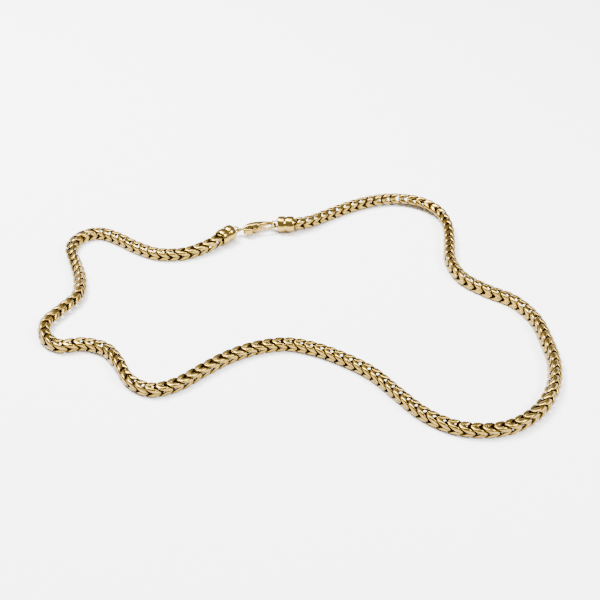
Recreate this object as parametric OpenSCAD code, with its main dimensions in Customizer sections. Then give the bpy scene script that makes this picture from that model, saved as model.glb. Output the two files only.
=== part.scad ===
// Franco chain necklace, closed with a claw clasp and lying in a loose wavy loop
// The chain is a square weave of folded links, each one passed through the link before it
// Origin: middle of the outline at the surface that it lies on, +Z up, millimetres

/* [Loop] */
// Length of the loop that the chain lies in
loop_long = 180; // [172:2:188]
// Width of the loop
loop_wide = 130; // [124:2:136]

/* [Chain] */
// Side of the square chain
chain_w = 4; // [3.8:0.1:4.2]
// Distance from one link to the next, before it is rounded to a whole number of links
link_pitch = 3.8; // [3.7:0.05:4.2]
// Thickness of a link's wire
wire = 0.56; // [0.5:0.02:0.6]
// Width of the flattened band where the wire rounds a corner of the chain
band_w = 0.64; // [0.5:0.02:0.7]
// Slit between the two strands of a link's waist, and between its two lobes
link_slit = 0.1; // [0.06:0.02:0.16]
// How far the middle of the waist dips back
waist_dip = 0.5; // [0.4:0.05:0.55]
// How far the corners lie ahead of the waist
corner_rise = 0.7; // [0.6:0.05:0.75]
// How far the lobes reach past the next link's waist
lobe_reach = 1.1; // [1.05:0.05:1.2]

/* [End caps] */
// Diameter over a cap's ribs
cap_d = 6.6; // [6.4:0.1:7.4]
// Length of a cap
cap_len = 6.8; // [6:0.1:8]
// Depth of the grooves beside and between the ribs
cap_groove = 0.35; // [0.1:0.05:0.4]
// Play round the chain's corners inside a cap's bore
cap_bore_play = 0.28; // [0.1:0.02:0.3]
// Thickness of the cap's closed end
cap_floor = 1.6; // [1.2:0.1:2]

/* [Loops and ring] */
// Wire diameter of the loops on the caps
loop_wire = 0.7; // [0.5:0.05:0.8]
// Hole of the left cap's loop
left_loop_hole = 1.25; // [1.1:0.05:1.5]
// Hole of the right cap's loop, which the clasp holds
right_loop_hole = 2.5; // [2:0.1:3]
// Wire diameter of the jump ring
ring_wire = 0.62; // [0.5:0.02:0.7]
// Diameter of the jump ring over its wire's middle
ring_d = 2.7; // [2.5:0.1:3.2]
// Tilt of the jump ring and of what it passes through
ring_tilt = 30; // [0:5:40]

/* [Clasp] */
// Length of the clasp from the middle of its eye to the hook's bend
clasp_reach = 14.95; // [14.5:0.05:15.5]
// Thickness of the clasp's body
clasp_t = 2.8; // [2.4:0.1:3.2]
// Length of the clasp's solid body
clasp_body_len = 7.2; // [6.8:0.1:7.6]
// Height of the spine above the clasp's centre line
clasp_spine = 1.5; // [1.4:0.05:1.7]
// Wire diameter of the hook
hook_wire = 1.2; // [1:0.05:1.4]
// Hole of the clasp's eye
eye_hole = 1.2; // [1.1:0.05:1.5]
// Diameter of the lever's pin
pin_d = 0.8; // [0.6:0.05:1]
// Running clearance round the pin, on the radius
pin_play = 0.05; // [0.02:0.01:0.08]
// Clearance between the lever and the body
lever_gap = 0.15; // [0.1:0.01:0.2]
// Length of the lever's thumb piece
thumb_len = 4.2; // [3.6:0.1:4.4]

/* [Hidden] */
$fn = 48;
gold = [0.80, 0.66, 0.38];
pale_gold = [0.86, 0.74, 0.48];
join = 0.01;

// Where the chain lies, seen from above, from the left cap round to the right cap:
// share of the loop's length along x, share of its width along y
chain_route = [
    [-0.18, 0.258], [-0.208, 0.235], [-0.247, 0.214], [-0.3, 0.215], [-0.35, 0.25],
    [-0.392, 0.292], [-0.436, 0.319], [-0.475, 0.296], [-0.489, 0.238], [-0.472, 0.169],
    [-0.453, 0.088], [-0.45, 0.015], [-0.475, -0.045], [-0.498, -0.1], [-0.493, -0.158],
    [-0.46, -0.195], [-0.411, -0.188], [-0.367, -0.21], [-0.336, -0.265], [-0.31, -0.327],
    [-0.267, -0.362], [-0.219, -0.342], [-0.172, -0.288], [-0.122, -0.235], [-0.067, -0.2],
    [-0.011, -0.188], [0.044, -0.208], [0.097, -0.246], [0.15, -0.3], [0.194, -0.373],
    [0.239, -0.446], [0.292, -0.492], [0.35, -0.504], [0.406, -0.485], [0.456, -0.431],
    [0.489, -0.354], [0.503, -0.265], [0.5, -0.177], [0.489, -0.085], [0.456, -0.008],
    [0.403, 0.042], [0.358, 0.1], [0.339, 0.181], [0.344, 0.269], [0.347, 0.354],
    [0.333, 0.427], [0.294, 0.481], [0.239, 0.504], [0.181, 0.492], [0.125, 0.458],
    [0.072, 0.411], [0.033, 0.372]
];
// How the chain is rolled about its own line: share of its length, roll in degrees
roll_table = [
    [0, 90], [0.09, 90], [0.24, 0], [0.47, 0], [0.52, 25], [0.57, 0], [0.595, 0],
    [0.695, -80], [0.73, -82], [0.83, -96], [0.935, -178], [1, -180]
];
// How far the caps lift the chain: share of a cap's length from its mouth, share of the lift
lift_table = [[0, 1], [0.44, 0.85], [1.76, 0.15], [2.65, 0]];

chain_half = chain_w/2;
// The corners stand this share of the half side out on the lobes' faces
corner_share = 0.7;
// Rounding of the chain's corners where it lies on one of them
corner_round = 0.85;
wire_at = chain_half-wire/2;
chain_corner = wire_at*norm([1, corner_share])+band_w/2;
cap_bore = chain_corner+cap_bore_play;
cap_axis_z = cap_d/2;
cap_depth = cap_len-cap_floor;
loop_left_r = (left_loop_hole+loop_wire)/2;
loop_right_r = (right_loop_hole+loop_wire)/2;

// Right cap: middle of its mouth, the way that it points and its loop
function heading(yaw) = [cos(yaw), sin(yaw)];
function loop_seat(r) = cap_len+r-loop_wire;
mouth_share = 0.3546;
right_yaw = 180;
right_mouth = [0, mouth_share*loop_wide];
right_loop = right_mouth+loop_seat(loop_right_r)*heading(right_yaw);

// Clasp: its hook's bend lies in the right cap's loop, and its eye is the clasp's length back
clasp_yaw = 12.96;
eye_centre = right_loop-clasp_reach*heading(clasp_yaw);
eye_wire = loop_wire;
eye_r = (eye_hole+eye_wire)/2;
clasp_drop = 0.4;
clasp_z = cap_axis_z-clasp_drop;
bend_r = clasp_spine;
bend_x = clasp_reach-bend_r;
nose_len = 1.5;
neck_x = eye_r;
body_end = neck_x+clasp_body_len;
body_low = -0.3;
// The cheeks that hold the lever's pin, and the pin's place under the body
cheek_r = 1.15;
cheek_in = 0.75;
hub_r = cheek_r-lever_gap;
pin_x = 6.4;
pivot = [pin_x, body_low-lever_gap-hub_r];

// Jump ring: it hangs in the clasp's eye and in the left cap's loop
ring_r = ring_d/2;
ring_yaw = 30;
ring_bow = 5;
ring_centre = eye_centre-ring_r*heading(ring_yaw-ring_bow);

// Left cap, back from its loop
left_yaw = 45;
left_loop = ring_centre-ring_r*heading(ring_yaw+ring_bow);
left_mouth = left_loop-loop_seat(loop_left_r)*heading(left_yaw);

// Route as one smooth curve
route_steps = 10;
route_all = concat(
    [left_mouth+cap_depth*heading(left_yaw), left_mouth],
    [for (p = chain_route) [p[0]*loop_long, p[1]*loop_wide]],
    [right_mouth, right_mouth+cap_depth*heading(right_yaw)]
);
function smooth(a, b, c, d, t) =
    (2*b+(c-a)*t+(2*a-5*b+4*c-d)*t*t+(3*b-a-3*c+d)*t*t*t)/2;
function route_at(i) = route_all[max(0, min(len(route_all)-1, i))];
trace = [
    for (i = [0:len(route_all)-2]) for (j = [0:route_steps-1])
        smooth(route_at(i-1), route_at(i), route_at(i+1), route_at(i+2), j/route_steps)
];
trace_n = len(trace);
run = [
    for (i = 0, s = 0; i < trace_n; s = s+norm(trace[min(i+1, trace_n-1)]-trace[i]), i = i+1) s
];
x_along = [for (i = [0:trace_n-1]) [run[i], trace[i][0]]];
y_along = [for (i = [0:trace_n-1]) [run[i], trace[i][1]]];
run_len = run[trace_n-1];

// Height of the chain's middle: half the chain's rolled section, plus its lift near the caps
function roll_at(s) = lookup(s/run_len, roll_table);
function rolled_height(a) =
    (chain_half-corner_round)*(abs(sin(a))+abs(cos(a)))+corner_round;
function lift_at(s) = lookup((min(s, run_len-s)-cap_depth)/cap_len, lift_table);
function point_at(s) = [
    lookup(s, x_along),
    lookup(s, y_along),
    min(cap_axis_z, rolled_height(roll_at(s))+(cap_axis_z-chain_half)*lift_at(s)/lift_table[0][1])
];

// Whole number of links between the two caps' floors
first_at = 1.2;
last_reach = link_pitch+lobe_reach+wire;
links_run = run_len-first_at-last_reach;
link_n = round(links_run/link_pitch)+1;
link_step = links_run/(link_n-1);
half_n = floor(link_n/2);

// A link's wire, one quarter of it: middle of the waist, corner band, shoulder of a lobe
pinch = (wire+link_slit)/2;
quarter = [
    [0, pinch, -waist_dip],
    [wire_at, corner_share*wire_at, corner_rise],
    [pinch, wire_at, link_step+lobe_reach]
];
function flip(p, x, y) = [p[0]*x, p[1]*y, p[2]];
link_path = [
    quarter[0], quarter[1], quarter[2],
    flip(quarter[2], 1, -1), flip(quarter[1], 1, -1), flip(quarter[0], 1, -1),
    flip(quarter[1], -1, -1), flip(quarter[2], -1, -1),
    flip(quarter[2], -1, 1), flip(quarter[1], -1, 1)
];
link_wide = [wire, band_w, wire, wire, band_w, wire, band_w, wire, wire, band_w];
rings = len(link_path);
sides = 5;
function unit(v) = v/norm(v);
function ring_way(i) = unit(link_path[(i+1)%rings]-link_path[(i+rings-1)%rings]);
function ring_out(i) =
    let (p = link_path[i], t = ring_way(i), o = unit([p[0], p[1], 0]))
    unit(o-(o*t)*t);
link_points = [
    for (i = [0:rings-1])
        let (o = ring_out(i), b = cross(ring_way(i), o))
        for (j = [0:sides-1])
            link_path[i]+o*cos(360*j/sides)*wire/2+b*sin(360*j/sides)*link_wide[i]/2
];
link_faces = [
    for (i = [0:rings-1]) for (j = [0:sides-1])
        let (k = (i+1)%rings, m = (j+1)%sides)
        each [
            [i*sides+j, k*sides+j, i*sides+m],
            [i*sides+m, k*sides+j, k*sides+m]
        ]
];

// One link where it lies, pointing at the next one
function link_axes(s) =
    let (
        t = unit(point_at(s+link_step)-point_at(s)),
        side = unit(cross(t, [0, 0, 1])),
        up = cross(side, t),
        a = roll_at(s)
    )
    [up*cos(a)+side*sin(a), side*cos(a)-up*sin(a), t];

module link(i) {
    s = first_at+i*link_step;
    axes = link_axes(s);
    base = point_at(s);
    polyhedron(
        points = [for (p = link_points) base+p[0]*axes[0]+p[1]*axes[1]+p[2]*axes[2]],
        faces = link_faces
    );
}

module chain_left() {
    color(gold) for (i = [0:half_n-1]) link(i);
}

module chain_right() {
    color(gold) for (i = [half_n:link_n-1]) link(i);
}

// Barrel of a cap: two ribs with a groove between them, bored for the chain
rib_n = 2;
rib_steps = 10;
rib_flat = 0.35;
function rib_radius(z) =
    cap_d/2-cap_groove*(1-pow(abs(sin(180*rib_n*z/cap_len)), rib_flat));
barrel = concat(
    [[0, 0]],
    [for (i = [0:rib_n*rib_steps]) let (z = cap_len*i/(rib_n*rib_steps)) [rib_radius(z), z]],
    [[0, cap_len]]
);

module ring_of(r, w) {
    rotate_extrude() translate([r, 0]) circle(d = w);
}

module end_cap(loop_r, loop_tilt) {
    difference() {
        rotate_extrude() polygon(barrel);
        translate([0, 0, -join]) cylinder(r = cap_bore, h = cap_depth+join);
    }
    translate([0, 0, loop_seat(loop_r)]) rotate([0, 0, loop_tilt]) rotate([90, 0, 0])
        ring_of(loop_r, loop_wire);
}

// Puts a cap's mouth at a point with its closed end along the heading
module lay_cap(mouth, yaw) {
    translate([mouth[0], mouth[1], cap_axis_z]) rotate([0, 0, yaw]) rotate([0, 90, 0]) children();
}

module end_cap_left() {
    color(pale_gold) lay_cap(left_mouth, left_yaw) end_cap(loop_left_r, ring_tilt);
}

module end_cap_right() {
    color(pale_gold) lay_cap(right_mouth, right_yaw) end_cap(loop_right_r, 0);
}

module jump_ring() {
    color(pale_gold)
        translate([ring_centre[0], ring_centre[1], cap_axis_z])
        rotate([0, 0, ring_yaw]) rotate([ring_tilt, 0, 0])
        ring_of(ring_r, ring_wire);
}

// Clasp, drawn from the middle of its eye towards the hook, the lever on the -Y side
module lay_clasp() {
    translate([eye_centre[0], eye_centre[1], clasp_z]) rotate([0, 0, clasp_yaw]) children();
}

// Outline of the clasp's solid body: its back rises from the neck to the spine
back_steps = 10;
neck_top = 0.5;
back_over = 0.2;
back_top = clasp_spine+hook_wire/2+back_over;
back_level = 2;
function back_y(t) = neck_top+(back_top-neck_top)*sin(90*t);
body_outline = concat(
    [[neck_x, body_low]],
    [[body_end, body_low], [body_end, back_y(1)]],
    [for (i = [back_steps:-1:0])
        [neck_x+(clasp_body_len-back_level)*i/back_steps, back_y(i/back_steps)]]
);
// The spine narrows from the body's end to the hook's wire
spine_r = 0.95;
spine_root = 0.5;

module clasp_body() {
    color(pale_gold) lay_clasp() {
        rotate([ring_tilt, 0, 0]) rotate([90, 0, 0]) ring_of(eye_r, eye_wire);
        linear_extrude(height = clasp_t, center = true) polygon(body_outline);
        translate([body_end-spine_root, clasp_spine, 0]) rotate([0, 90, 0])
            cylinder(r1 = spine_r, r2 = hook_wire/2, h = bend_x-body_end+spine_root);
        translate([bend_x, 0, 0]) rotate([0, 0, -90])
            rotate_extrude(angle = 180) translate([bend_r, 0]) circle(d = hook_wire);
        translate([bend_x-nose_len, -bend_r, 0]) rotate([0, 90, 0])
            cylinder(d = hook_wire, h = nose_len);
        translate([bend_x-nose_len, -bend_r, 0]) sphere(d = hook_wire);
        cheek();
        mirror([0, 0, 1]) cheek();
        translate([pivot[0], pivot[1], 0]) cylinder(d = pin_d, h = clasp_t, center = true);
    }
}

// One of the two cheeks that hold the lever's pin
module cheek() {
    translate([pivot[0], pivot[1], cheek_in]) {
        cylinder(r = cheek_r, h = clasp_t/2-cheek_in);
        translate([-cheek_r, 0, 0])
            cube([2*cheek_r, body_low-pivot[1]+join, clasp_t/2-cheek_in]);
    }
}

// Thumb piece of the lever, a rounded lobe whose top runs close under the body
lobe_steps = 24;
lobe_r = 1.25;
lobe_in = 0.35;
lobe_thin = 0.2;
lobe_x = pivot[0]-cheek_r-lever_gap-thumb_len/2+lobe_in;
lobe_drop = 0.1;
lobe_y = pivot[1]-lobe_drop;
lobe_outline = [
    for (i = [0:lobe_steps-1])
        let (a = 360*i/lobe_steps)
        [lobe_x+thumb_len/2*cos(a), min(body_low-lever_gap, lobe_y+lobe_r*sin(a))]
];
arm_t = 0.8;
arm_tip = bend_x-nose_len-hook_wire/2-lever_gap;
tongue_t = 2*(cheek_in-lever_gap);

module clasp_lever() {
    color(pale_gold) lay_clasp() difference() {
        union() {
            difference() {
                linear_extrude(height = clasp_t-lobe_thin, center = true) polygon(lobe_outline);
                translate([pivot[0], pivot[1], 0])
                    cylinder(r = cheek_r+lever_gap, h = clasp_t, center = true);
            }
            translate([lobe_x, pivot[1]-arm_t, -tongue_t/2])
                cube([pivot[0]-lobe_x, 2*arm_t, tongue_t]);
            translate([pivot[0], pivot[1], 0]) cylinder(r = hub_r, h = tongue_t, center = true);
            translate([pivot[0], pivot[1]-arm_t/2, -tongue_t/2])
                cube([arm_tip-pivot[0], arm_t, tongue_t]);
        }
        translate([pivot[0], pivot[1], 0])
            cylinder(r = pin_d/2+pin_play, h = clasp_t, center = true);
    }
}

chain_left();
chain_right();
end_cap_left();
end_cap_right();
jump_ring();
clasp_body();
clasp_lever();
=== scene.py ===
import bpy
import numpy as np
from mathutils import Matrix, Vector


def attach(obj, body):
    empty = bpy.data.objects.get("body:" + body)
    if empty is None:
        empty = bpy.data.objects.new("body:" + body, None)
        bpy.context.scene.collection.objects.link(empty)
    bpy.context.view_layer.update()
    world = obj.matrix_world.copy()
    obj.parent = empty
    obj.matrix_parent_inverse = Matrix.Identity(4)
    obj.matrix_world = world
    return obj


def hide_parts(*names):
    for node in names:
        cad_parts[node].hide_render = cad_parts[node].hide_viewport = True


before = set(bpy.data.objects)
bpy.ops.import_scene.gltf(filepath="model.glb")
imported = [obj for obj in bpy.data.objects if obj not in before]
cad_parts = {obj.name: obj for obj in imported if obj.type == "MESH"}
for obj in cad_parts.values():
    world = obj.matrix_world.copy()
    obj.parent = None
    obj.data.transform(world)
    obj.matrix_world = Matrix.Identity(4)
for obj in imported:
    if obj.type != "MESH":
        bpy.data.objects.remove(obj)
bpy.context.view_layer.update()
print("frame loaded")


# small helpers

def linearColour(hexText):
    # sRGB to linear: c/12.92 below 0.04045, else ((c+0.055)/1.055)^2.4
    c = np.array([int(hexText[i:i + 2], 16) for i in (1, 3, 5)]) / 255
    c = np.where(c <= 0.04045, c / 12.92, ((c + 0.055) / 1.055) ** 2.4)
    return (*[float(v) for v in c], 1.0)


def addNode(tree, kind, values=None, links=None, **settings):
    # values go on the node's own sockets, links come from other nodes' outputs
    node = tree.nodes.new(kind)
    for name, value in settings.items():
        setattr(node, name, value)
    for name, value in (values or {}).items():
        node.inputs[name].default_value = value
    for name, socket in (links or {}).items():
        tree.links.new(socket, node.inputs[name])
    return node


def meshFromArrays(name, points, quads, triangles=None):
    # points n x 3, faces m x 4 and k x 3, put in as whole arrays
    mesh = bpy.data.meshes.new(name)
    points = np.asarray(points, dtype=np.float32)
    groups = [np.asarray(g, dtype=np.int32) for g in (quads, triangles) if g is not None and len(g)]
    corners = np.concatenate([g.ravel() for g in groups])
    sides = np.concatenate([np.full(len(g), g.shape[1], dtype=np.int32) for g in groups])
    mesh.vertices.add(len(points))
    mesh.vertices.foreach_set("co", points.ravel())
    mesh.loops.add(len(corners))
    mesh.loops.foreach_set("vertex_index", corners)
    mesh.polygons.add(len(sides))
    mesh.polygons.foreach_set("loop_start", np.concatenate([[0], np.cumsum(sides)[:-1]]).astype(np.int32))
    mesh.polygons.foreach_set("use_smooth", np.ones(len(sides), dtype=bool))
    mesh.update(calc_edges=True)
    mesh.validate()
    obj = bpy.data.objects.new(name, mesh)
    bpy.context.scene.collection.objects.link(obj)
    return obj


def ringFaces(rings, sides, closed):
    # quads between one ring and the next, all round
    i = np.arange(rings if closed else rings - 1)[:, None]
    j = np.arange(sides)[None, :]
    k = (i + 1) % rings
    m = (j + 1) % sides
    return np.stack([i * sides + j, k * sides + j, k * sides + m, i * sides + m], axis=-1).reshape(-1, 4)


def skin(rings, closed=False):
    # rings n x m x 3 become points, quads and a fan of triangles on each open end
    n, m = rings.shape[:2]
    points, quads, fans = rings.reshape(-1, 3), ringFaces(n, m, closed), np.zeros((0, 3), int)
    if not closed:
        j = np.arange(m)
        k = (j + 1) % m
        points = np.vstack([points, rings[0].mean(axis=0), rings[-1].mean(axis=0)])
        last = (n - 1) * m
        fans = np.vstack([
            np.stack([j, k, 0 * j + n * m], axis=-1),
            np.stack([last + k, last + j, 0 * j + n * m + 1], axis=-1),
        ])
    # faces look outward when the volume, the sum of a . (b x c) / 6, is above 0
    corners = np.vstack([quads[:, :3], quads[:, [0, 2, 3]], fans])
    a, b, c = (points[corners[:, i]] for i in range(3))
    if np.sum(a * np.cross(b, c)) < 0:
        quads, fans = quads[:, ::-1], fans[:, ::-1]
    return points, quads, fans


def joinSkins(name, skins, place, recessShade):
    # several closed skins as one mesh, laid in the frame by place, in millimetres
    starts = np.concatenate([[0], np.cumsum([len(k[0]) for k in skins])])
    points = np.vstack([k[0] for k in skins])
    quads = np.vstack([k[1] + s for k, s in zip(skins, starts)])
    fans = np.vstack([k[2] + s for k, s in zip(skins, starts)])
    obj = meshFromArrays(name, place(points) / 1000, quads, fans)
    # the recess shade attribute: where the metal is painted dark as shade, and rougher
    layer = obj.data.attributes.new("recessShade", "FLOAT", "POINT")
    layer.data.foreach_set("value", recessShade(points).astype(np.float32))
    return obj


def turn(p, x=0, y=0, z=0):
    # about x, then about y, then about z, in degrees
    for axis, angle in enumerate((x, y, z)):
        c, d = np.cos(np.radians(angle)), np.sin(np.radians(angle))
        i, j = (axis + 1) % 3, (axis + 2) % 3
        q = p.copy()
        q[..., i], q[..., j] = p[..., i] * c - p[..., j] * d, p[..., i] * d + p[..., j] * c
        p = q
    return p


def lathe(profile, sides=48):
    # profile rows are radius, height: ring = (r cos a, r sin a, z)
    r, z = np.array(profile, float).T
    a = np.linspace(0, 2 * np.pi, sides, endpoint=False)
    return np.stack([r[:, None] * np.cos(a), r[:, None] * np.sin(a), z[:, None] + 0 * a], axis=-1)


def smoothRows(rows, steps):
    # Catmull-Rom through the rows of a table:
    # (2b + (c-a)t + (2a-5b+4c-d)t^2 + (3b-a-3c+d)t^3) / 2
    p = np.array(rows, float)
    q = np.vstack([p[:1], p, p[-1:]])
    t = (np.arange(steps) / steps)[None, :, None]
    a, b, c, d = (q[i:i + len(p) - 1][:, None, :] for i in range(4))
    square, cube = 2 * a - 5 * b + 4 * c - d, 3 * b - a - 3 * c + d
    mid = (2 * b + (c - a) * t + square * t ** 2 + cube * t ** 3) / 2
    return np.vstack([mid.reshape(-1, p.shape[1]), p[-1:]])


def wireRing(radius, wire, sides=16, around=40):
    # a ring of round wire about z: the profile is a circle, (radius + wire / 2 cos b, wire / 2 sin b)
    b = np.linspace(0, 2 * np.pi, sides, endpoint=False)
    return lathe(np.column_stack([radius + wire / 2 * np.cos(b), wire / 2 * np.sin(b)]), around)


def roundedPlate(outline, low, high, edge):
    # the outline drawn in by edge x (1 - sin a) while it rises by edge x (1 - cos a),
    # then the same from above
    ahead = np.roll(outline, -1, axis=0) - np.roll(outline, 1, axis=0)
    out = np.column_stack([ahead[:, 1], -ahead[:, 0]]) / np.linalg.norm(ahead, axis=1)[:, None]
    a = np.linspace(0, np.pi / 2, 6)
    # one more ring inside the rounding keeps the flat face's shading flat
    rim = edge * 1.15
    drawn = np.concatenate([[rim], edge * (1 - np.sin(a))])
    rise = np.concatenate([[0], edge * (1 - np.cos(a))])
    drawn = np.concatenate([drawn, drawn[::-1]])
    height = np.concatenate([low + rise, (high - rise)[::-1]])
    flat = outline[None] - out[None] * drawn[:, None, None]
    return np.concatenate([flat, np.broadcast_to(height[:, None, None], flat.shape[:2] + (1,))], axis=2)


# materials

gold = {
    # the alloy's light and dark tone, its roughness, how far that varies, and the grain of both
    "chain": {"colour": "#9C803E", "dark": "#886E30", "rough": 0.24, "spread": 0.08, "grainMm": 2.5},
    "cap": {"colour": "#A88C48", "dark": "#967A38", "rough": 0.18, "spread": 0.06, "grainMm": 3.0},
    "clasp": {"colour": "#A08544", "dark": "#8E7436", "rough": 0.20, "spread": 0.06, "grainMm": 3.0},
    # painted shade for the recesses: its dark colour, and how much rougher the metal is there
    "paintedShade": {"colour": "#3A2710", "rough": 0.3},
}


def goldAlloy(name, look, shadeLook):
    # Yellow gold alloy, tumbled and polished: a warm mirror, slightly softened by fine handling marks.
    # Recesses are painted with shade: a dark brown colour there, and a rougher surface
    mat = bpy.data.materials.new(name)
    mat.use_nodes = True
    tree = mat.node_tree
    shader = tree.nodes["Principled BSDF"]
    shader.inputs["Metallic"].default_value = 1.0
    coords = addNode(tree, "ShaderNodeTexCoord")
    # one noise cell a grain: scale = 1 / grain size in metres
    grain = {"Scale": 1000 / look["grainMm"], "Detail": 3.0}
    noise = addNode(tree, "ShaderNodeTexNoise", grain, {"Vector": coords.outputs["Object"]})
    tone = addNode(tree, "ShaderNodeMix", {}, {"Factor": noise.outputs["Fac"]}, data_type="RGBA")
    tone.inputs["A"].default_value = linearColour(look["dark"])
    tone.inputs["B"].default_value = linearColour(look["colour"])
    # colour = polished tone, blending to the painted shade's dark brown as the recess shade attribute
    # goes from 0 to 1
    recessShade = addNode(tree, "ShaderNodeAttribute", attribute_name="recessShade")
    paintedShade = addNode(tree, "ShaderNodeMix", {}, {"Factor": recessShade.outputs["Fac"]}, data_type="RGBA")
    tree.links.new(tone.outputs["Result"], paintedShade.inputs["A"])
    paintedShade.inputs["B"].default_value = linearColour(shadeLook["colour"])
    tree.links.new(paintedShade.outputs["Result"], shader.inputs["Base Color"])
    # roughness = base + spread x (noise - 0.5) + the painted shade's extra roughness x the recess shade
    # attribute
    half = look["spread"] / 2
    span = {"To Min": look["rough"] - half, "To Max": look["rough"] + half}
    rough = addNode(tree, "ShaderNodeMapRange", span, {"Value": noise.outputs["Fac"]})
    inputs = {0: recessShade.outputs["Fac"], 2: rough.outputs["Result"]}
    dull = addNode(tree, "ShaderNodeMath", {1: shadeLook["rough"]}, inputs, operation="MULTIPLY_ADD")
    tree.links.new(dull.outputs["Value"], shader.inputs["Roughness"])
    return mat


chainGold = goldAlloy("goldAlloyFiledPolished", gold["chain"], gold["paintedShade"])
capGold = goldAlloy("goldAlloyTurnedPolished", gold["cap"], gold["paintedShade"])
claspGold = goldAlloy("goldAlloyCastPolished", gold["clasp"], gold["paintedShade"])


# the route of the chain, in millimetres, the same as the part's

route = {
    # the loop's length and width, and the points as shares of them
    "size": [180, 130],
    "points": [
        [-0.18, 0.258], [-0.208, 0.235], [-0.247, 0.214], [-0.3, 0.215], [-0.35, 0.25],
        [-0.392, 0.292], [-0.436, 0.319], [-0.475, 0.296], [-0.489, 0.238], [-0.472, 0.169],
        [-0.453, 0.088], [-0.45, 0.015], [-0.475, -0.045], [-0.498, -0.1], [-0.493, -0.158],
        [-0.46, -0.195], [-0.411, -0.188], [-0.367, -0.21], [-0.336, -0.265], [-0.31, -0.327],
        [-0.267, -0.362], [-0.219, -0.342], [-0.172, -0.288], [-0.122, -0.235], [-0.067, -0.2],
        [-0.011, -0.188], [0.044, -0.208], [0.097, -0.246], [0.15, -0.3], [0.194, -0.373],
        [0.239, -0.446], [0.292, -0.492], [0.35, -0.504], [0.406, -0.485], [0.456, -0.431],
        [0.489, -0.354], [0.503, -0.265], [0.5, -0.177], [0.489, -0.085], [0.456, -0.008],
        [0.403, 0.042], [0.358, 0.1], [0.339, 0.181], [0.344, 0.269], [0.347, 0.354],
        [0.333, 0.427], [0.294, 0.481], [0.239, 0.504], [0.181, 0.492], [0.125, 0.458],
        [0.072, 0.411], [0.033, 0.372],
    ],
    # the caps' mouths and the way that the bores run on from them
    "leftMouth": [-29.6013, 36.3975], "leftYaw": 45,
    "rightMouth": [0, 46.098], "rightYaw": 180,
    # depth of a bore, height of its axis, length of a cap, and steps from one point to the next
    "capDepth": 5.2, "capAxis": 3.3, "capLength": 6.8, "steps": 10,
    # share of the length, roll in degrees
    "roll": [
        [0, 90], [0.105, 88], [0.129, 104], [0.145, 106], [0.17, 126], [0.195, 128],
        [0.227, 122], [0.237, 148], [0.264, 186], [0.28, 182], [0.299, 162], [0.31, 172],
        [0.323, 184], [0.34, 180], [0.59, 182], [0.62, 165], [0.637, 151], [0.652, 136],
        [0.668, 120], [0.685, 108], [0.7, 104], [0.728, 93], [0.76, 94], [0.785, 103],
        [0.815, 104], [0.835, 94], [0.85, 76], [0.935, 2], [1, 0],
    ],
    # distance from a mouth in cap lengths, lift towards the caps' height
    "lift": [[0, 1], [0.44, 0.85], [1.76, 0.15], [2.65, 0]],
    # the chain's section: half of its side, and the rounding of its corners
    "half": 2.0, "cornerRound": 0.45,
    # the first link's place, and the last one's distance from the bore's end: pitch + lobe + wire
    "firstAt": 1.2, "lastReach": 3.8 + 1.1 + 0.56, "pitch": 3.8,
}


def headingOf(yaw):
    # unit vector = (cos yaw, sin yaw)
    a = np.radians(yaw)
    return np.array([np.cos(a), np.sin(a)])


def traceRoute(r):
    # through the caps' bores at both ends, distances summed along the way
    left, right = np.array(r["leftMouth"], float), np.array(r["rightMouth"], float)
    rows = np.vstack([
        left + r["capDepth"] * headingOf(r["leftYaw"]), left,
        np.array(r["points"]) * r["size"],
        right, right + r["capDepth"] * headingOf(r["rightYaw"]),
    ])
    xy = smoothRows(rows, r["steps"])[:-1]
    run = np.concatenate([[0], np.cumsum(np.linalg.norm(np.diff(xy, axis=0), axis=1))])
    return xy, run


routeXy, routeRun = traceRoute(route)
runLength = routeRun[-1]


def rollAt(s):
    # the share of the length looked up in the roll table, straight between its rows, in radians
    table = np.array(route["roll"])
    return np.radians(np.interp(s / runLength, table[:, 0], table[:, 1]))


def pointAt(s):
    # height = half of the rolled section + the lift near the caps
    a = rollAt(s)
    lift = np.array(route["lift"])
    near = (np.minimum(s, runLength - s) - route["capDepth"]) / route["capLength"]
    flat, r = route["half"] - route["cornerRound"], route["cornerRound"]
    rolled = flat * (np.abs(np.sin(a)) + np.abs(np.cos(a))) + r
    rise = (route["capAxis"] - route["half"]) * np.interp(near, lift[:, 0], lift[:, 1])
    x, y = (np.interp(s, routeRun, routeXy[:, i]) for i in (0, 1))
    return np.stack([x, y, np.minimum(route["capAxis"], rolled + rise)], axis=-1)


linksRun = runLength - route["firstAt"] - route["lastReach"]
linkCount = int(np.floor(linksRun / route["pitch"] + 0.5)) + 1
linkStep = linksRun / (linkCount - 1)
print("chain:", linkCount, "links, one each", round(linkStep, 3), "mm")


# one link: a flattened wire led round the waist, the corners and the lobes

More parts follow.
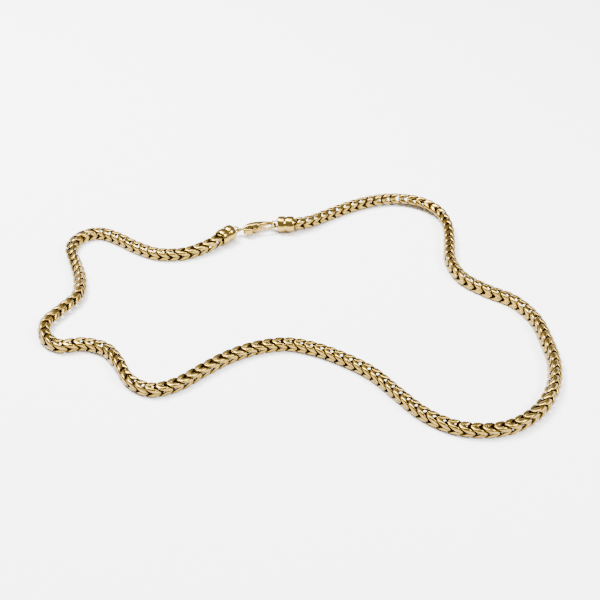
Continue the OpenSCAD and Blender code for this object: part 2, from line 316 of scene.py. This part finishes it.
link = {
    # section as the route has it; along the chain a strip's point and its image add up to reach
    "half": route["half"], "round": route["cornerRound"], "reach": 4.0,
    # the strip on the square's surface from the waist to the ridge, upper and lower edge:
    # way round from the X face's middle, distance along the chain
    "upper": [[0.05, 1.6], [0.35, 2.0], [0.75, 2.5], [1.2, 2.95], [1.75, 3.42]],
    "lower": [[0.05, -0.95], [0.35, -0.75], [0.75, -0.45], [1.25, -0.08], [1.75, 0.24]],
    # bars inside: middle across and from the chain's line, lower and upper edge along it
    "waist": [[0, 0.5, -0.6, 0.15], [0.95, 0.5, -0.6, 0.15], [1.4, 0.44, -0.55, 1.3]],
    "lobe": [[1.4, 0.44, 2.7, 4.55], [0.95, 0.5, 4.06, 4.75], [0, 0.5, 4.06, 4.75]],
    # depth of the strip, half depth of a bar, and how far down the painted shade starts and from where it
    # is full, dark and rough
    "deep": 0.88, "barDeep": 0.44, "shadeStart": 0.2, "shadeFull": 0.45,
    # section: across from -1 to 1, and depth from 0 on the surface to 1 inside
    "section": [
        [0, 0], [0.5, 0.04], [0.86, 0.16], [1, 0.42], [0.84, 0.85], [0.42, 1],
        [-0.42, 1], [-0.84, 0.85], [-1, 0.42], [-0.86, 0.16], [-0.5, 0.04],
    ],
}


def onSquare(q, z, depth):
    # q runs round a rounded square: face, arc of the corner, face
    h, r = link["half"], link["round"]
    full = 2 * (h - r) + np.pi / 2 * r
    q = q * full / (2 * h)
    a = np.clip((q - (h - r)) / r, 0, np.pi / 2)
    past = np.maximum(0, q - (h - r) - np.pi / 2 * r)
    x = h - r + (r - depth) * np.cos(a) - past
    y = np.minimum(q, h - r) + (r - depth) * np.sin(a)
    return np.stack([x, y, z], axis=-1)


def quarterLink():
    # the section carried along half of the waist, the strip and half of the lobe
    section = np.array(link["section"])
    u, v = section[:, 0], section[:, 1]
    # the strip goes on over the ridge as its own image:
    # way round becomes 2 x half - way round, along becomes reach - along
    upper, lower = np.array(link["upper"]), np.array(link["lower"])
    turned = np.array([2 * link["half"], link["reach"]])
    upper, lower = np.vstack([upper, turned - lower[-2::-1]]), np.vstack([lower, turned - upper[-2::-1]])
    # strip: point = middle + u x half of the way from the lower to the upper edge, sunk by v x depth
    mid, wide = (upper + lower) / 2, (upper - lower) / 2
    q = mid[:, :1] + wide[:, :1] * u
    z = mid[:, 1:] + wide[:, 1:] * u
    strip = onSquare(q, z, link["deep"] * v[None, :])

    def bar(x, y, n, low, high):
        # bar: point = centre + (1 - 2v) x half depth x n, from low to high along the chain
        flat = np.array([x, y]) + (1 - 2 * v)[:, None] * link["barDeep"] * np.array(n)
        return np.column_stack([flat, (low + high) / 2 + u * (high - low) / 2])

    w = np.sqrt(0.5)
    ways = [[0, -1], [0, -1], [w, -w]]
    waist = np.stack([bar(x, y, n, low, high) for (x, y, low, high), n in zip(link["waist"], ways)])
    # the lobe's bars lie across the waist's: x and y change places
    lobe = np.stack([bar(x, y, n, low, high) for (x, y, low, high), n in zip(link["lobe"], ways[::-1])])
    lobe = lobe[..., [1, 0, 2]]
    return np.concatenate([waist, strip, lobe])


def wholeLink():
    # the quarter, then its mirror images, each second one run backwards
    a = quarterLink()
    back = a[::-1]
    loop = [a, back[1:] * [1, -1, 1], a[1:] * [-1, -1, 1], back[1:-1] * [-1, 1, 1]]
    return np.concatenate(loop)


def frameAt(s):
    # middle of the chain, X face's normal, Y face's normal at a distance along the route
    base = pointAt(s)
    t = pointAt(s + 0.5) - pointAt(s - 0.5)
    t /= np.linalg.norm(t, axis=-1, keepdims=True)
    side = np.cross(t, [0, 0, 1])
    side /= np.linalg.norm(side, axis=-1, keepdims=True)
    up = np.cross(side, t)
    a = rollAt(s)[..., None]
    return base, up * np.cos(a) + side * np.sin(a), side * np.cos(a) - up * np.sin(a)


def layLinks(name, first, last):
    # each link is led along the curve, so that the play is shared out evenly in a bend:
    # point = middle at its own distance + x times the X normal + y times the Y normal
    p, faces, _ = skin(wholeLink(), True)
    at = route["firstAt"] + np.arange(first, last)[:, None] * linkStep + p[None, :, 2]
    base, x, y = frameAt(at)
    points = base + p[None, :, :1] * x + p[None, :, 1:2] * y
    every = faces[None] + (np.arange(last - first) * len(p))[:, None, None]
    obj = meshFromArrays(name, points.reshape(-1, 3) / 1000, every.reshape(-1, 4))
    obj.data.materials.append(chainGold)
    # painted shade = how far a point lies below the chain's surface: 0 down to where the shade starts and
    # 1 from where it is full, so deeper metal is painted darker
    below = link["half"] - np.max(np.abs(p[:, :2]), axis=1)
    share = np.clip((below - link["shadeStart"]) / (link["shadeFull"] - link["shadeStart"]), 0, 1)
    recessShade = obj.data.attributes.new("recessShade", "FLOAT", "POINT")
    recessShade.data.foreach_set("value", np.tile(share, last - first).astype(np.float32))
    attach(obj, "necklace")
    return obj


halfCount = linkCount // 2
chainLeft = layLinks("chainLeft", 0, halfCount)
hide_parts("chain_left")
chainRight = layLinks("chainRight", halfCount, linkCount)
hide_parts("chain_right")
print("links laid:", len(chainLeft.data.polygons), "and", len(chainRight.data.polygons), "faces")


# end caps: turned barrels with two ribs, bored for the chain, and a soldered loop

cap = {
    # radius and distance from the mouth: lip, two ribs, rounded closed end
    "barrel": [
        [2.72, 0.12], [2.78, 0.02], [2.88, 0], [2.97, 0.06], [3.04, 0.2], [3.15, 0.45], [3.24, 0.8],
        [3.29, 1.2], [3.3, 1.7], [3.29, 2.2], [3.24, 2.6], [3.14, 2.95], [3.02, 3.2], [2.96, 3.33],
        [2.96, 3.47], [3.02, 3.6], [3.14, 3.85], [3.24, 4.2], [3.29, 4.6], [3.3, 5.1], [3.28, 5.6],
        [3.22, 6.0], [3.1, 6.35], [2.92, 6.6], [2.68, 6.74], [2.4, 6.8], [2.3, 6.8], [0.1, 6.8],
    ],
    "bore": [[0.1, 5.2], [2.6, 5.2], [2.7, 5.1], [2.7, 0.3]],
    "length": route["capLength"], "wire": 0.7,
    # solder bead at a foot of the loop: radius, height above the closed end
    "bead": [[0.05, -0.1], [0.6, -0.1], [0.55, 0.03], [0.46, 0.1], [0.38, 0.22], [0.05, 0.24]],
    # inside this radius and depth the bore is painted dark as shade, and rougher
    "dull": [2.71, 5.3],
    # radius and turn of each cap's loop
    "sides": {
        "Left": {"node": "end_cap_left", "loop": 0.975, "tilt": 30},
        "Right": {"node": "end_cap_right", "loop": 1.6, "tilt": 0},
    },
}


def endCap(side, look):
    # the bore runs back to the lip, so barrel and bore are one closed skin
    barrel = skin(lathe(cap["bore"] + cap["barrel"]))
    seat = cap["length"] + look["loop"] - cap["wire"]
    loop = turn(wireRing(look["loop"], cap["wire"]), x=90)
    loop = turn(loop, z=look["tilt"]) + [0, 0, seat]
    # solder at the feet: foot's distance = sqrt(loop^2 - (seat - length)^2)
    foot = np.sqrt(look["loop"] ** 2 - (seat - cap["length"]) ** 2)
    bead = lathe(cap["bead"], 20) + [foot, 0, cap["length"]]
    beads = [turn(bead, z=look["tilt"] + half) for half in (0, 180)]

    def place(p):
        mouth, yaw = route[side.lower() + "Mouth"], route[side.lower() + "Yaw"]
        return turn(turn(p, y=90), z=yaw) + [*mouth, route["capAxis"]]

    def recessShade(p):
        # inside the bore the metal gets painted shade, dark and rougher
        radius, depth = cap["dull"]
        return np.where((np.hypot(p[:, 0], p[:, 1]) < radius) & (p[:, 2] < depth), 1.0, 0.0)

    skins = [barrel, skin(loop, True)] + [skin(b) for b in beads]
    obj = joinSkins("endCap" + side, skins, place, recessShade)
    obj.data.materials.append(capGold)
    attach(obj, "necklace")
    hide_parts(look["node"])
    return obj


for side, look in cap["sides"].items():
    endCap(side, look)
print("caps turned")


# clasp, in its own axes: x from the eye to the hook, the lever on the -y side, z through its thickness

clasp = {
    # place of the eye, turn of the whole clasp, and the eye's own ring
    "eye": [-22.2692, 42.7452, 2.9], "yaw": 12.96, "eyeRadius": 0.95, "eyeWire": 0.7, "eyeTilt": 30,
    # along, lower edge, upper edge, half thickness, squareness of the section
    "back": [
        [0.95, -0.25, 0.42, 0.34, 2], [1.6, -0.28, 0.62, 0.46, 2.2], [2.4, -0.3, 1.25, 0.9, 2.5],
        [3.3, -0.3, 1.9, 1.28, 2.7], [4.4, -0.3, 2.35, 1.44, 2.8], [6.0, -0.3, 2.65, 1.5, 2.8],
        [7.2, -0.25, 2.74, 1.5, 2.7], [8.2, -0.1, 2.76, 1.42, 2.6], [9.2, 0.3, 2.76, 1.28, 2.5],
        [10.5, 0.7, 2.7, 1.1, 2.3], [12, 0.87, 2.5, 0.88, 2.1], [13.45, 0.9, 2.1, 0.6, 2],
    ],
    # middle and radius of the bend, length of the nose, thickness of the hook's wire
    "bend": [13.45, 1.5], "nose": 1.5, "wire": 1.2,
    # cheeks: radius and angles round the pin, end of the web, inner and outer half width, rounding
    "pivot": [6.4, -1.45], "cheek": 0.86, "cheekArc": [150, 312], "web": [8.1, 0.9],
    "cheekIn": 0.75, "half": 1.15, "cheekEdge": 0.16,
    # pin: radius, how far it stands out of the cheeks, rounding
    "pin": 0.3, "pinProud": 0.02, "pinEdge": 0.06,
    # the body's underside, and where along it the metal gets painted shade, dark and rougher
    "low": -0.3, "shadeAlong": [1.4, 8.5],
    # lever: hub and its bore, half width of the tongue, arm to the nose and back to the lobe
    "hub": 0.84, "hubBore": 0.45, "bevel": 0.1, "tongue": 0.6,
    "armFrom": 0.6, "armBack": 2, "armTip": 11.2, "armHalf": 0.4, "armSquare": 3.5,
    # how an arm's end closes in: distance from the end, share of the full section
    "armEnd": [[0, 0.6], [0.06, 0.86], [0.2, 1]],
    # thumb piece: teardrop under the body, clear of the cheeks
    "lobe": {
        "outline": [
            [1.5, -1.5], [1.62, -2.1], [2.3, -2.6], [3.4, -2.8], [4.5, -2.72], [5.2, -2.3], [5.34, -1.7],
            [5.28, -1.05], [4.9, -0.6], [4.1, -0.46], [3.0, -0.47], [2.1, -0.62], [1.65, -0.95],
        ],
        "top": -0.45, "half": 1.34, "edge": 0.55,
    },
}


def sectionRing(centre, out, high, deep, square, sides=28):
    # superellipse about each centre: cos and sin raised to 2 / squareness, keeping their sign
    b = np.linspace(0, 2 * np.pi, sides, endpoint=False)
    u = np.sign(np.cos(b)) * np.abs(np.cos(b)) ** (2 / square)
    v = np.sign(np.sin(b)) * np.abs(np.sin(b)) ** (2 / square)
    flat = centre[:, None, :] + out[:, None, :] * (high * u)[..., None]
    return np.concatenate([flat, (deep * v)[..., None]], axis=2)


def hookRings():
    # the back from the eye to the bend, round the bend, and the nose with its round end
    back = smoothRows(clasp["back"], 5)
    x, low, top, deep, square = back.T
    bendX, bendR = clasp["bend"]
    r = clasp["wire"] / 2
    a = np.radians(np.linspace(90, -90, 17)[1:])
    e = np.linspace(0, np.pi / 2, 7)
    # the round end stops just short of a point: sin and cos of e, each drawn back a little
    straight = np.linspace(0, clasp["nose"], 4)[1:-1]
    nose = np.concatenate([straight, clasp["nose"] + r * 0.999 * np.sin(e)])
    thin = np.concatenate([np.ones(2), np.cos(e * 0.97)])
    centre = np.vstack([
        np.column_stack([x, (low + top) / 2]),
        np.column_stack([bendX + bendR * np.cos(a), bendR * np.sin(a)]),
        np.column_stack([bendX - nose, np.full(len(nose), -bendR)]),
    ])
    out = np.vstack([
        np.tile([0, 1], (len(x), 1)),
        np.column_stack([np.cos(a), np.sin(a)]),
        np.tile([0, -1], (len(nose), 1)),
    ])
    high = np.concatenate([(top - low) / 2, np.full(len(a), r), r * thin])
    wide = np.concatenate([deep, np.full(len(a), r), r * thin])
    power = np.concatenate([square, np.full(len(a) + len(nose), 2.0)])
    return sectionRing(centre, out, high[:, None], wide[:, None], power[:, None])


def disc(x, y, radius, count=40):
    # point = middle + radius x (cos a, sin a)
    a = np.linspace(0, 2 * np.pi, count, endpoint=False)
    return np.column_stack([x + radius * np.cos(a), y + radius * np.sin(a)])


def cheekOutline():
    # round below the pin, a web up to the spine on the right, and the top hidden in the body
    x, y = clasp["pivot"]
    a = np.radians(np.linspace(*clasp["cheekArc"], 24))
    low = np.column_stack([x + clasp["cheek"] * np.cos(a), y + clasp["cheek"] * np.sin(a)])
    t = np.linspace(0, 1, 12)[1:, None]
    web = low[-1:] + (np.array(clasp["web"]) - low[-1:]) * t
    top = np.array(clasp["web"]) + (np.array([x - clasp["cheek"], clasp["web"][1]]) - clasp["web"]) * t
    return np.vstack([low, web, top])


def lobeOutline():
    # the lobe's control points, closed as a smooth curve
    rows = np.array(clasp["lobe"]["outline"])
    return smoothRows(np.vstack([rows[-1:], rows, rows[:2]]), 6)[6:-7]


def layClasp(p):
    # turned about z by the clasp's yaw, then moved to the eye's place
    return turn(p, z=clasp["yaw"]) + clasp["eye"]


def claspBody():
    # eye, back with its hook, two cheeks and the lever's pin, each a closed skin
    eye = turn(turn(wireRing(clasp["eyeRadius"], clasp["eyeWire"]), x=90), x=clasp["eyeTilt"])
    inner, outer, edge = clasp["cheekIn"], clasp["half"], clasp["cheekEdge"]
    walls = ((-outer, -inner), (inner, outer))
    cheeks = [roundedPlate(cheekOutline(), low, high, edge) for low, high in walls]
    end = outer + clasp["pinProud"]
    pin = roundedPlate(disc(*clasp["pivot"], clasp["pin"], 24), -end, end, clasp["pinEdge"])

    def recessShade(p):
        # the underside of the body beside the lever gets painted shade, dark and rougher
        under = np.clip((0.12 - p[:, 1]) / 0.3, 0, 1) * (p[:, 1] > clasp["low"] - 0.02)
        start, stop = clasp["shadeAlong"]
        beside = np.clip(stop - p[:, 0], 0, 1) * (p[:, 0] > start)
        return under * beside * (np.abs(p[:, 2]) < clasp["cheekIn"] - 0.01)

    skins = [skin(eye, True), skin(hookRings())] + [skin(c) for c in cheeks] + [skin(pin)]
    return joinSkins("claspBody", skins, layClasp, recessShade)


def claspLever():
    look = clasp["lobe"]
    px, py = clasp["pivot"]
    t = clasp["tongue"]
    lobe = roundedPlate(lobeOutline(), -look["half"], look["half"], look["edge"])
    # hub: a ring round the pin, as a closed profile turned about it
    bore, rim, bevel = clasp["hubBore"], clasp["hub"], clasp["bevel"]
    half = [[bore, -t + bevel / 2], [bore + bevel / 2, -t], [rim - bevel, -t], [rim, -t + bevel]]
    hub = lathe(half + [[r, -z] for r, z in half[::-1]])
    hub = np.swapaxes(hub, 0, 1) + [px, py, 0]
    # arm and tongue: rounded bars whose ends close in
    inset, share = np.array(clasp["armEnd"]).T
    end = np.concatenate([share, share[::-1]])
    out, square = np.tile([0, 1], (len(end), 1)), np.full((len(end), 1), clasp["armSquare"])
    high, deep = (clasp["armHalf"] * end)[:, None], (t * end)[:, None]
    tongue = (px - clasp["armBack"], px - clasp["armFrom"])
    arm = (px + clasp["armFrom"], clasp["armTip"])
    bars = []
    for start, stop in (tongue, arm):
        x = np.concatenate([start + inset, (stop - inset)[::-1]])
        centre = np.column_stack([x, np.full(len(x), py)])
        bars.append(skin(sectionRing(centre, out, high, deep, square)))

    def recessShade(p):
        # the lobe's top under the body gets painted shade, dark and rougher
        near = np.clip((p[:, 1] - look["top"] + 0.3) / 0.2, 0, 1)
        return near * (p[:, 0] < px - 1.1) * (np.abs(p[:, 2]) < look["half"] - 0.2)

    return joinSkins("claspLever", [skin(lobe), skin(hub, True)] + bars, layClasp, recessShade)


for obj, node, body in ((claspBody(), "clasp_body", "necklace"), (claspLever(), "clasp_lever", "lever")):
    obj.data.materials.append(claspGold)
    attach(obj, body)
    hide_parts(node)

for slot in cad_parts["jump_ring"].material_slots:
    slot.material = claspGold
print("clasp laid")


# floor, light and camera

studioLook = {
    # side of the paper in metres, its colour, and the light from all round
    "paper": 6.0, "colour": "#FCFCFC", "rough": 0.9, "around": 0.5,
    # square lamps aimed at the middle: place and side in metres, power in watts
    "lamps": {
        "keyLight": {"place": (-0.35, 0.25, 0.75), "size": 0.3, "power": 30},
        "fillLight": {"place": (0.55, -0.25, 0.6), "size": 0.25, "power": 12},
        "topLight": {"place": (0.0, 0.1, 1.0), "size": 0.5, "power": 20},
    },
}


def studio(look):
    # a pale paper sheet, larger than the view, and lamps turned to look at the middle
    corners = np.array([[-0.5, -0.5, 0], [0.5, -0.5, 0], [0.5, 0.5, 0], [-0.5, 0.5, 0]]) * look["paper"]
    floor = meshFromArrays("floor", corners, [[0, 1, 2, 3]])
    # matt white paper, uncoated
    paper = bpy.data.materials.new("paperMatt")
    paper.use_nodes = True
    shader = paper.node_tree.nodes["Principled BSDF"]
    shader.inputs["Base Color"].default_value = linearColour(look["colour"])
    shader.inputs["Roughness"].default_value = look["rough"]
    floor.data.materials.append(paper)
    for name, lamp in look["lamps"].items():
        light = bpy.data.lights.new(name, "AREA")
        light.shape = "SQUARE"
        light.size = lamp["size"]
        light.energy = lamp["power"]
        obj = bpy.data.objects.new(name, light)
        bpy.context.scene.collection.objects.link(obj)
        obj.location = lamp["place"]
        obj.rotation_mode = "QUATERNION"
        obj.rotation_quaternion = (-Vector(lamp["place"])).to_track_quat("-Z", "Y")
    world = bpy.data.worlds.new("studio")
    world.use_nodes = True
    world.node_tree.nodes["Background"].inputs["Color"].default_value = (1, 1, 1, 1)
    world.node_tree.nodes["Background"].inputs["Strength"].default_value = look["around"]
    bpy.context.scene.world = world


cameraLook = {
    # aimed at the target from the front: metres, degrees above the floor, millimetres of lens
    "target": (0.0024, -0.0001, 0.002), "distance": 0.3802, "elevation": 40.3, "lens": 61.2,
}


def camera(view):
    # place = target + distance x (0, -cos elevation, sin elevation), looking back along it
    cam = bpy.data.cameras.new("camera")
    cam.sensor_width = 36
    cam.lens = view["lens"]
    obj = bpy.data.objects.new("camera", cam)
    bpy.context.scene.collection.objects.link(obj)
    e = np.radians(view["elevation"])
    target = Vector(view["target"])
    away = Vector((0, -float(np.cos(e)), float(np.sin(e))))
    obj.location = target + away * view["distance"]
    obj.rotation_mode = "QUATERNION"
    obj.rotation_quaternion = (-away).to_track_quat("-Z", "Y")
    cam.clip_start = 0.01
    cam.clip_end = 20
    bpy.context.scene.camera = obj


studio(studioLook)
camera(cameraLook)
